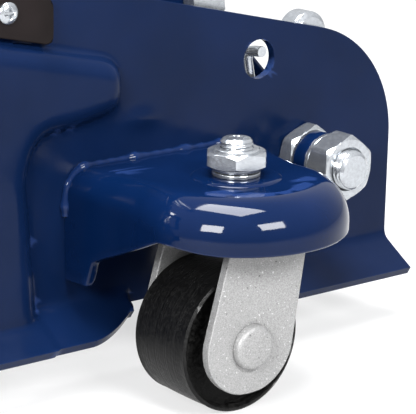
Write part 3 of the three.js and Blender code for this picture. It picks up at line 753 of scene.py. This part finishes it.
def plate_mesh():
    columns = [*reversed(nose_columns()), *rear_columns()]
    per = len(columns[0])
    verts = [(x, -PLATE_Y - n, z) for column in columns for x, n, z in column]
    faces = []
    for a, b, c, d in grid_faces(len(columns), per):
        x = sum(verts[i][0] for i in (a, b, c, d)) / 4
        z = sum(verts[i][2] for i in (a, b, c, d)) / 4
        if math.hypot(x - HOLE_X, z - HOLE_Z) > HOLE_R - 0.3:
            faces.append((a, b, c, d))
    used = sorted({i for face in faces for i in face})
    place = {old: new for new, old in enumerate(used)}
    return [verts[i] for i in used], [tuple(place[i] for i in face) for face in faces]


def side_plates():
    verts, faces = plate_mesh()
    for side, mesh in (("left", (verts, faces)), ("right", flipped(verts, faces))):
        node = f"side_plate_{side}"
        obj = piece(f"{node}_pressing", *mesh, node, sharp=180)
        obj.data.materials[0] = PRESSED_ENAMEL
        thicken(obj, PLATE_T)
        round_edges(obj, 0.45, 50, clamp=True)


side_plates()

# ---- rear casters ----
BRACKET_TOP = box("caster_bracket_left")[1].z
HEAD_R = 47.0
HEAD_N = -PLATE_Y - SWIVEL.y              # the head's centre, out from the plate
RIM_R = 12.0
SKIRT_Z, FOOT_Z, FOOT_N = 74.0, 47.0, 13.0


def bracket_plan():
    """Points (l, n) and outward directions of the bracket's rim, from one side of the plate to the other."""
    lean = 0.1
    stops = [0.0, 3, 6, 9, 11, 12, 12.7, 13.3, 14, 15, 16.5, 19, 23, 28, 33, 38, 43]
    start = HEAD_N + HEAD_R * math.sin(math.pi + lean)
    side = [(-HEAD_R * math.cos(lean) - (start - n) * math.tan(lean), n)
            for n in stops if n < start - 1]
    turns = [math.pi + lean + (math.pi - 2 * lean) * i / 56 for i in range(57)]
    head = [(HEAD_R * math.cos(t), HEAD_N - HEAD_R * math.sin(t)) for t in turns]
    left = [((l, n), (-math.cos(lean), -math.sin(lean))) for l, n in side]
    front = [((l, n), (math.cos(t), -math.sin(t))) for (l, n), t in zip(head, turns)]
    right = [((-l, n), (-ol, on)) for (l, n), (ol, on) in reversed(left)]
    return left + front + right


def skirt_edge(n):
    """Z of the bracket's lower edge: deep at the welded foot, then rising to the skirt."""
    rise = 58.0 + 18.0 * min(max((n - 15) / 42, 0.0), 1.0) + (SKIRT_Z - 76.0) * smoothstep(n, 58, 84)
    return FOOT_Z + (rise - FOOT_Z) * smoothstep(n, FOOT_N - 0.5, FOOT_N + 4.5)


def rim_section(low, across, down):
    """(inset, z) from the flat top over the rim and down the wall, then up inside."""
    outer = [(across + 3, BRACKET_TOP)]
    outer += [(across * (1 - math.sin(t)), BRACKET_TOP - down * (1 - math.cos(t)))
              for t in quarter(14)]
    wall = BRACKET_TOP - down
    outer += [(0.0, wall + (low + 1 - wall) * i / 6) for i in range(1, 7)]
    edge = [(0.5, low + 0.25), (1.3, low), (2.7, low), (3.5, low + 0.25), (4.0, low + 1)]
    top = BRACKET_TOP - 4
    inner = [(4.0, low + 1 + (wall - low - 1) * i / 5) for i in range(1, 6)]
    inner += [(4 + (across - 4) * (1 - math.sin(t)), top - (down - 4) * (1 - math.cos(t)))
              for t in reversed(quarter(8)[:-1])]
    return outer + edge + inner + [(across + 3, top)]


def bracket_mesh():
    plan = bracket_plan()
    rows = []
    for (l, n), (out_l, out_n) in plan:
        row, bulge = [], smoothstep(n, 18, 70)
        neck = 2.2 * smoothstep(n, 10, 34) * (1 - smoothstep(n, 40, 62)) * (-1 if l > 0 else 1)
        for inset, z in rim_section(skirt_edge(n), RIM_R + 3 * bulge, RIM_R + 5 * bulge):
            row.append((SWIVEL.x + l + neck - out_l * inset, -PLATE_Y - max(n - out_n * inset, 0.2), z))
        rows.append(row)
    per = len(rows[0])
    verts = [v for row in rows for v in row]
    faces = grid_faces(len(rows), per)
    lines, across = len(rows), 8
    for offset, turned in ((0, False), (per - 1, True)):       # the flat top and its underside
        base, half = len(verts), lines // 2
        for i in range(half + 1):
            a, b = Vector(rows[i][offset]), Vector(rows[lines - 1 - i][offset])
            verts += [tuple(a.lerp(b, k / across)) for k in range(across + 1)]
        deck = [tuple(base + j for j in face) for face in grid_faces(half + 1, across + 1)]
        faces += [tuple(reversed(face)) for face in deck] if turned else deck
    return verts, faces


def weld_bead(rows, radius=2.3):
    """A rippled bead along a path."""
    path = resample_3d(rows, 1.1)

    def ripple(i):
        lump = max(0.0, math.sin(i * 0.31 + 1.3 * math.sin(i * 0.07))) ** 3
        return radius * (0.72 + 0.05 * math.sin(i * 1.15) + 0.42 * lump)
    return tube(path, radius, 12, ripple)


def resample_3d(points, step):
    pts = [Vector(p) for p in points]
    out, carry = [pts[0]], 0.0
    for a, b in zip(pts, pts[1:]):
        length = (b - a).length
        at = step - carry
        while at < length:
            out.append(a.lerp(b, at / length))
            at += step
        carry = length - (at - step)
    return out


def bracket_weld():
    """Path of the weld where the bracket meets the plate: up one wall, over the top and down."""
    half = -bracket_plan()[0][0][0]
    wall = BRACKET_TOP - RIM_R
    left = [(-half, wall - 8), (-half, wall)]
    left += [(-half + RIM_R * (1 - math.cos(t)), wall + RIM_R * math.sin(t)) for t in quarter(8, 1)]
    path = left + [(-l, z) for l, z in reversed(left)]
    return weld_bead([(SWIVEL.x + l, -PLATE_Y - 0.6, z) for l, z in path])


def boss_mesh():
    """Pressed ring under the caster nut."""
    profile = [(6.8, -1.0), (6.8, 0.85), (15.6, 0.85), (17.2, 0.75), (18.6, 0.25), (19.2, -0.3), (19.2, -1.0)]
    return revolve(profile, (SWIVEL.x, SWIVEL.y, BRACKET_TOP), Z, 96, closed=True)


FORK_DROP = 20.8                          # lower end of a fork leg, below the axle


def fork_edges(z):
    """X of a fork leg's two edges at a height, relative to the swivel axis."""
    axle_l, axle_z = CASTER_AXLE.x - SWIVEL.x, CASTER_AXLE.z
    radius, crown_half, crown_z = 22.3, 20.3, 72.0
    edges = []
    for sign in (-1, 1):
        dl, dz = sign * crown_half - axle_l, crown_z - axle_z
        lean = math.acos(radius / math.hypot(dl, dz))
        touch = math.atan2(dz, dl) - sign * lean
        tl, tz = axle_l + radius * math.cos(touch), axle_z + radius * math.sin(touch)
        if z >= crown_z:
            edges.append(sign * crown_half)
        elif z > tz:
            edges.append(tl + (sign * crown_half - tl) * (z - tz) / (crown_z - tz))
        else:
            drop = min((axle_z - z) / FORK_DROP, 1.0) if z < axle_z else (z - axle_z) / radius
            edges.append(axle_l + sign * (radius * math.sqrt(1 - drop ** 2) + 0.05))
    return edges


def fork_mesh():
    """The fork's outer surface: down one leg, over the crown and down the other."""
    bend, columns = 6.0, 22
    lo, hi = box("caster_fork_left")
    half, top, bottom = (hi.y - lo.y) / 2, hi.z, CASTER_AXLE.z - FORK_DROP
    heights = [CASTER_AXLE.z - FORK_DROP * math.cos(t) + 0.02 for t in quarter(12)[:-1]]
    heights += [CASTER_AXLE.z + (top - bend - CASTER_AXLE.z) * i / 24 for i in range(25)]
    leg = [(-half, max(z, bottom)) for z in heights]
    leg += [(-half + bend * (1 - math.cos(t)), top - bend + bend * math.sin(t)) for t in quarter(6, 1)]
    path = leg + [(-half * 0.3, top), (half * 0.3, top)] + [(-y, z) for y, z in reversed(leg)]
    rows = []
    for y, z in path:
        left, right = fork_edges(z)
        rows.append([(SWIVEL.x + left + (right - left) * k / columns, SWIVEL.y + y, z)
                     for k in range(columns + 1)])
    return [v for row in rows for v in row], grid_faces(len(rows), columns + 1)


def wheel_profile(radius, half, hub_r, hub_half, bore, lip):
    """Closed (radius, height) profile of a wheel with a lip round each recessed side."""
    depth, crown = 5.0, 0.3
    side = [(bore, hub_half), (hub_r, hub_half), (hub_r + 1.2, half - depth - 1.5),
            (radius - lip - 0.9, half - depth),
            (radius - lip - 0.3, half - 0.4), (radius - lip + 0.2, half), (radius - 0.1, half - 0.8)]
    tread = [(radius - crown + crown * (1 - (k / 5) ** 2), half * 0.9 * k / 5) for k in range(5, 0, -1)]
    upper = soften(side, 0.5, closed=False) + tread
    return [(r, -h) for r, h in upper] + [(radius, 0.0)] + upper[::-1]


def wheel_piece(node, bore, hub_r, lip):
    centre, hub_half, radius = span(node, Y)
    profile = wheel_profile(radius, hub_half - 1.0, hub_r, hub_half, bore, lip)
    mesh = revolve(profile, centre, Y, 128, closed=True)
    return piece(f"{node}_turned", *mesh, node, origin=centre, sharp=38)


def rivet_mesh(node):
    """Shank and two flat heads with rounded rims."""
    centre, half, radius = span(node, Y)
    shank, head = 5.9, 3.4
    outer = [(radius - 2.2, half), (radius - 0.9, half - 0.35), (radius - 0.1, half - 1.3),
             (radius, half - head), (shank, half - head)]
    return revolve([(r, -h) for r, h in outer] + outer[::-1], centre, Y, 64)


def stem_mesh():
    """The stem's threaded end above the nut, with a centre drilling, and its head under the fork."""
    lo, hi = box("caster_stem_left")
    low, top = lo.z, hi.z + 0.4
    centre = Vector((SWIVEL.x, SWIVEL.y, 0))
    rings, groove = thread(6.9, BRACKET_TOP - 12, top, 1.75)
    threaded = revolve(rings, centre, Z, 48, radius_at=groove)
    head = revolve(soften([(6.5, BRACKET_TOP - 11), (6.5, low + 5), (11.6, low + 5), (12, low + 4),
                           (10.5, low)], 0.8, closed=False)[::-1], centre, Z, 48)
    dimple = revolve([(3.2, top - 0.2), (3.3, top + 0.12), (4.6, top + 0.12), (4.7, top - 0.2)][::-1],
                     centre, Z, 48, closed=True)
    return joined(threaded, head, dimple)


def nut_mesh():
    """Caster nut on two washers, with a turned collar on top."""
    hi = box("caster_nut_left")[1]
    base = Vector((SWIVEL.x, SWIVEL.y, BRACKET_TOP + 0.9))
    nut_low = BRACKET_TOP + 4.6
    turn = math.radians(-38.6 + 120)
    hexagon = nut(24, hi.z - nut_low - 0.9, 6.9, (SWIVEL.x, SWIVEL.y, nut_low), Z, turn)
    collar = revolve([(6.8, hi.z - 1.2), (9.6, hi.z - 1.2), (9.5, hi.z - 0.1), (9.0, hi.z + 0.25),
                      (6.8, hi.z + 0.25)], (SWIVEL.x, SWIVEL.y, 0), Z, 64, closed=True)
    washers = [revolve(soften([(7, z), (r, z), (r, z + 1.7), (7, z + 1.7)], 0.5), base, Z, 64, closed=True)
               for z, r in ((-0.1, 10.0), (1.95, 9.7))]
    return joined(hexagon, collar, *washers)


def bearing_mesh():
    """Thrust bearing between the crown and the bracket: two races and a ring of balls."""
    lo, hi = box("caster_bearing_left")
    centre = Vector((SWIVEL.x, SWIVEL.y, 0))
    races = [revolve(soften([(8, z0), (16.8, z0), (16.8, z1), (8, z1)], 0.4), centre, Z, 64, closed=True)
             for z0, z1 in ((lo.z, lo.z + 1.6), (hi.z - 1.6, hi.z))]
    ball_r, track_r, count = (hi.z - lo.z) / 2 - 1.0, 13, 16
    rows = [(ball_r * math.sin(math.pi * k / 8), -ball_r * math.cos(math.pi * k / 8)) for k in range(1, 8)]
    balls = []
    for i in range(count):
        turn = 2 * math.pi * i / count
        at = centre + Vector((track_r * math.cos(turn), track_r * math.sin(turn), (lo.z + hi.z) / 2))
        balls.append(revolve(rows, at, Z, 16))
    return joined(*races, *balls)


def both_sides(name, mesh, node, **options):
    """The left piece and its mirror image."""
    return [piece(f"{name}_{side}", *one, f"{node}_{side}", **options)
            for side, one in (("left", mesh), ("right", flipped(*mesh)))]


both_sides("bracket_pressing", joined(bracket_mesh(), bracket_weld(), boss_mesh()), "caster_bracket",
           sharp=50)
for fork in both_sides("fork_strap", fork_mesh(), "caster_fork", sharp=180):
    thicken(fork, 4.0)
    round_edges(fork, 0.5, 50)
both_sides("axle_rivet", rivet_mesh("caster_axle_rivet_left"), "caster_axle_rivet", sharp=40)
both_sides("swivel_stem", stem_mesh(), "caster_stem", sharp=40)
both_sides("swivel_nut", nut_mesh(), "caster_nut", sharp=24)
both_sides("thrust_bearing", bearing_mesh(), "caster_bearing")
for side in ("left", "right"):
    wheel_piece(f"caster_wheel_{side}", 6.3, 12, 1.5)
    wheel_piece(f"front_wheel_{side}", 10.3, 17, 3.0)

# ---- yoke bolts, nuts and spring ----
NUT_TURN = math.radians(52)


def yoke_bolt_mesh():
    """Bolt from the yoke outwards: collar, shank, washer and threaded end."""
    lo, hi = box("yoke_bolt_left")
    centre = Vector((YOKE.x, 0, YOKE.z))
    washer = PLATE_Y + 17
    rings, groove = thread(8.9, PLATE_Y + 0.5, -lo.y, 2.2, 2.0)
    end = revolve(rings, centre, -Y, 56, radius_at=groove)
    shank = revolve(rounded_bar((hi.y + PLATE_Y) / 2, 9), (YOKE.x, (hi.y - PLATE_Y) / 2, YOKE.z), Y, 48)
    collar_line = soften([(9, 36), (11.4, 36), (11.4, 57.5), (9, 57.5)], 0.5)
    collar = revolve([(r, -h) for r, h in collar_line], centre, Y, 48, closed=True)
    disc = revolve(soften([(9.2, washer), (13.4, washer), (13.4, washer + 2.1), (9.2, washer + 2.1)], 0.45),
                   centre, -Y, 64, closed=True)
    return joined(end, shank, collar, disc)


def yoke_nut_mesh(node):
    lo, hi = box(node)
    return nut(27, hi.y - lo.y, 9.0, (YOKE.x, hi.y, YOKE.z), -Y, NUT_TURN)


def spring_mesh():
    """Torsion spring round the left bolt; its leg hooks out through the inspection hole."""
    lo, hi = box("yoke_spring")
    wire, coil_r = 2.45, 15.9
    y0, y1 = hi.y - wire, -PLATE_Y + PLATE_T + 2 + wire
    hook = Vector((HOLE_X + 0.5, 0, HOLE_Z + 3))
    reach = (hook - Vector((YOKE.x, 0, YOKE.z))).length
    start = math.atan2(hook.z - YOKE.z, hook.x - YOKE.x) + math.acos(coil_r / reach)
    turns, steps = 3.25, 110
    path = []
    for i in range(steps + 1):
        turn = start + 2 * math.pi * turns * (1 - i / steps)
        path.append((YOKE.x + coil_r * math.cos(turn), y0 + (y1 - y0) * i / steps,
                     YOKE.z + coil_r * math.sin(turn)))
    bends = [(hook.x - 0.5, y1, hook.z - 4), (hook.x, y1 - 1.4, hook.z - 0.8),
             (hook.x + 0.4, lo.y + 1.5, hook.z + 0.3), (hook.x + 0.4, lo.y, hook.z + 0.3)]
    leg = [Vector(path[-1]).lerp(Vector(bends[0]), t / 6) for t in range(1, 6)]
    return tube([*path, *leg, *smooth_path(bends, 5)], wire, 16)


def sleeve_mesh():
    """Painted spacer between the jam nut and the washer."""
    n0, n1, r = 8.5, 16.8, 12.9
    rows = soften([(9.2, n0), (r, n0), (r, n1), (9.2, n1)], 1.0)
    return revolve(rows, (YOKE.x, -PLATE_Y, YOKE.z), -Y, 64, closed=True)


both_sides("yoke_bolt_turned", yoke_bolt_mesh(), "yoke_bolt", sharp=28)
for side, mesh in (("left", sleeve_mesh()), ("right", flipped(*sleeve_mesh()))):
    piece(f"bolt_spacer_{side}", *mesh, [], body="frame", slot="blue_paint")
both_sides("jam_nut", yoke_nut_mesh("yoke_jam_nut_left"), "yoke_jam_nut", sharp=24)
both_sides("outer_nut", yoke_nut_mesh("yoke_outer_nut_left"), "yoke_outer_nut", sharp=24)
piece("torsion_spring", *spring_mesh(), "yoke_spring")


# ---- round bars, tubes and other turned pieces ----
def turned(node, axis, profile, closed=False):
    """Replaces a round CAD node with a finely turned piece on the same axis."""
    centre, half, radius = span(node, axis)
    mesh = revolve(profile(half, radius)[::-1], centre, axis, 64, closed=closed)
    return piece(f"{node}_turned", *mesh, node, sharp=35)


def plain(chamfer):
    return lambda half, radius: rounded_bar(half, radius, chamfer)


def headed(shank, head):
    """A bar with a flat round head at each end."""
    def profile(half, radius):
        end = [(radius - 1.5, half), (radius, half - 1.5), (radius, half - head), (shank, half - head)]
        return soften([(r, -h) for r, h in end] + [(r, h) for r, h in reversed(end)], 0.5, closed=False)
    return profile


def hollow(wall):
    """A tube with softened ends."""
    def profile(half, radius):
        return soften([(radius, -half), (radius, half), (radius - wall, half), (radius - wall, -half)], 0.5)
    return profile


def grip_profile(half, radius):
    """Grip with a flared end, a rounded cap and close rings between."""
    rows = [(radius - 3.4, -half), (radius - 0.3, -half + 0.6), (radius, -half + 2), (radius, -half + 8)]
    pitch = 4.0
    for i in range(int((2 * half - 24) / pitch)):
        h = -half + 10 + i * pitch
        rows += [(radius - 1.3, h), (radius - 1.3, h + 1.0), (radius - 0.2, h + 1.6), (radius, h + 2.6),
                 (radius - 0.2, h + 3.4)]
    cap = [(radius - 6 + 6 * math.cos(t), half - 6 + 6 * math.sin(t)) for t in quarter(6)]
    return [*rows, (radius, half - 9), *cap]


def buffer_profile(half, radius):
    """Domed zinc head."""
    return soften([(radius - 2.5, -half), (radius, -half + 2), (radius, half - 1), (radius - 1, half)],
                  0.8, closed=False)


def plug_profile(half, radius):
    rim, neck = radius - 0.8, radius - 0.8 - 1.6
    return [(neck, -half), (neck, half - 3), (rim, half - 2.4), (rim, half - 0.8), (rim - 0.9, half)]


for bar, axis, profile in [
    ("front_axle", Y, headed(10, 5.7)), ("front_tie_rod", Y, plain(1.2)), ("rear_tie_rod", Y, plain(1.2)),
    ("arm_pivot_shaft", Y, headed(12.5, 7.7)), ("lug_pin", Y, plain(1.0)), ("saddle_pin", Y, plain(1.2)),
    ("rod_cross_pin", Y, plain(1.0)), ("radius_rod_stud_left", Y, plain(1.4)),
    ("radius_rod_stud_right", Y, plain(1.4)), ("yoke_buffer", Y, buffer_profile),
    ("handle_upper_tube", HANDLE_AXIS, plain(0.6)), ("handle_grip", HANDLE_AXIS, grip_profile),
    ("filler_plug", Z, plug_profile),
]:
    turned(bar, axis, profile)
turned("handle_lower_tube", HANDLE_AXIS, hollow(2.0), closed=True)
turned("yoke_roller", Y, hollow(2.6), closed=True)


# ---- carrying handle ----
PAD_TOP, PAD_LOW = 6.0, 25.3             # a pad's edges, below the plate's top edge


def pad_mesh(stops):
    """Flat pad with rounded corners that follows the plate's top edge."""
    def edge(x):
        return top_edge(x) if x > PEAK_X else front_edge(x)
    low = [(x, edge(x) - PAD_LOW) for x in stops]
    high = [(x, edge(x) - PAD_TOP) for x in reversed(stops)]
    return slab(soften(low + high, 4.5, steps=5), -PLATE_Y - 4.2, -PLATE_Y - 0.3)


def loop_mesh():
    """Moulded loop with round bends, thicker in the middle for the hand."""
    y_out, y_in = box("carry_handle")[0].y + 7.2, -PLATE_Y - 3
    ends = [(-54, front_edge(-54) - 15), (56, front_edge(56) - 15)]
    stops = [(0, y_in), (0, y_in - 8), (0, y_out + 11), (2.5, y_out + 4)]
    stops += [(9, y_out), (22, y_out), (55, y_out)]
    slope = (ends[1][1] - ends[0][1]) / (ends[1][0] - ends[0][0])
    left = [(ends[0][0] + d, y, ends[0][1] + d * slope) for d, y in stops]
    right = [(ends[1][0] - d, y, ends[1][1] - d * slope) for d, y in reversed(stops[:-1])]
    path = smooth_path(left + right, 7)

    def grip(i):
        return 6.1 + 0.7 * math.sin(math.pi * i / (len(path) - 1)) ** 2
    feet = [revolve([(9.5, 0), (9.5, 1.2), (7.6, 2.6), (6.6, 5)], (x, -PLATE_Y - 3.9, z), -Y, 32)
            for x, z in ends]
    return joined(tube(path, 6.5, 24, grip), *feet)


def screw_mesh(at):
    """Pan-head screw with a cross recess, facing out of the plate."""
    radius, height = 4.4, 2.3
    rings = [(0.25 + (radius - 0.25) * k / 18, 0.0) for k in range(19)]

    def dome(r, h, turn):
        x, y = r * math.cos(turn), r * math.sin(turn)
        top = height * (1 - (r / radius) ** 4 * 0.55)
        slot = min(abs(x), abs(y))
        deep = 1.5 * (1 - smoothstep(slot, 0.35, 0.75)) * (1 - smoothstep(r, 1.9, 2.7))
        return r, top - deep
    skirt = revolve([(radius, -0.4), (radius, height * 0.45)], at, -Y, 48)
    return joined(revolve(rings, at, -Y, 48, radius_at=dome), skirt)


def carry_handle():
    pads = [pad_mesh(stops) for stops in ((40, PEAK_X - 12, PEAK_X + 12, 133), (-102, -38))]
    piece("carry_handle_moulding", *joined(*pads, loop_mesh()), "carry_handle", sharp=35, bevel=0.6)
    spots = [(111, 14.8, top_edge), (80, 15, top_edge), (-90, 15, front_edge), (-72, 15, front_edge)]
    screws = [screw_mesh((x, -PLATE_Y - 4.1, edge(x) - drop)) for x, drop, edge in spots]
    piece("carry_handle_screws", *joined(*screws), [], body="frame", slot="zinc_plating", sharp=50)


carry_handle()


# ---- saddle ----
def tooth_wave(turn, count):
    """0 to 1 and back, count times in a full turn."""
    return abs((turn * count / (2 * math.pi)) % 1 - 0.5) * 2


def saddle_mesh():
    """Round saddle with a toothed rim."""
    lo, hi = box("saddle")
    base, top = lo.z + 8, hi.z
    profile = soften([(9, lo.z), (9, base), (38, base), (42, base + 4), (42, top), (37.6, top),
                      (37.6, base + 8)], 0.8, closed=False)

    def teeth(r, h, turn):
        if h < top - 1.2:
            return r, h
        return r, h - 4.2 * smoothstep(tooth_wave(turn, 16), 0.52, 0.66)
    return revolve(profile, (SADDLE_PIN.x, SADDLE_PIN.y, 0), Z, 256, radius_at=teeth)


def pad_rubber_mesh():
    """Rubber pad with ring grooves and a chequer of radial cuts."""
    lo, hi = box("saddle_pad")
    rings = [(0.4, hi.z - 0.2)]
    for k in range(1, 13):
        r = 2.9 * k
        rings += [(r - 0.7, hi.z), (r - 0.45, hi.z - 1.3), (r + 0.45, hi.z - 1.3), (r + 0.7, hi.z)]
    profile = [(36.8, lo.z), (36.8, hi.z - 1.0), (36.3, hi.z - 0.2)]
    profile += [p for p in reversed(rings) if p[0] < 36]

    def cuts(r, h, turn):
        if h < hi.z - 0.4 or r < 5 or r > 36:
            return r, h
        return r, h - smoothstep(tooth_wave(turn, 24), 0.86, 0.94)
    return revolve(profile, (SADDLE_PIN.x, SADDLE_PIN.y, 0), Z, 288, radius_at=cuts)


piece("saddle_casting", *saddle_mesh(), "saddle", sharp=40)
piece("saddle_rubber", *pad_rubber_mesh(), "saddle_pad", sharp=30)


# ---- finish the CAD nodes that stay ----
for node in ("handle_yoke", "saddle_bracket"):             # castings: every join and edge is rounded
    remesh = NODES[node].modifiers.new("remesh", "REMESH")
    remesh.mode, remesh.voxel_size, remesh.use_smooth_shade = "VOXEL", 1.3 * MM, True
    relax = NODES[node].modifiers.new("relax", "SMOOTH")
    relax.factor, relax.iterations = 0.5, 7

for node, obj in NODES.items():
    obj.data.materials.clear()
    obj.data.materials.append(SLOTS[SLOT_OF[node]])
    if not obj.hide_render and not obj.modifiers:
        round_edges(obj, 0.6, 30)
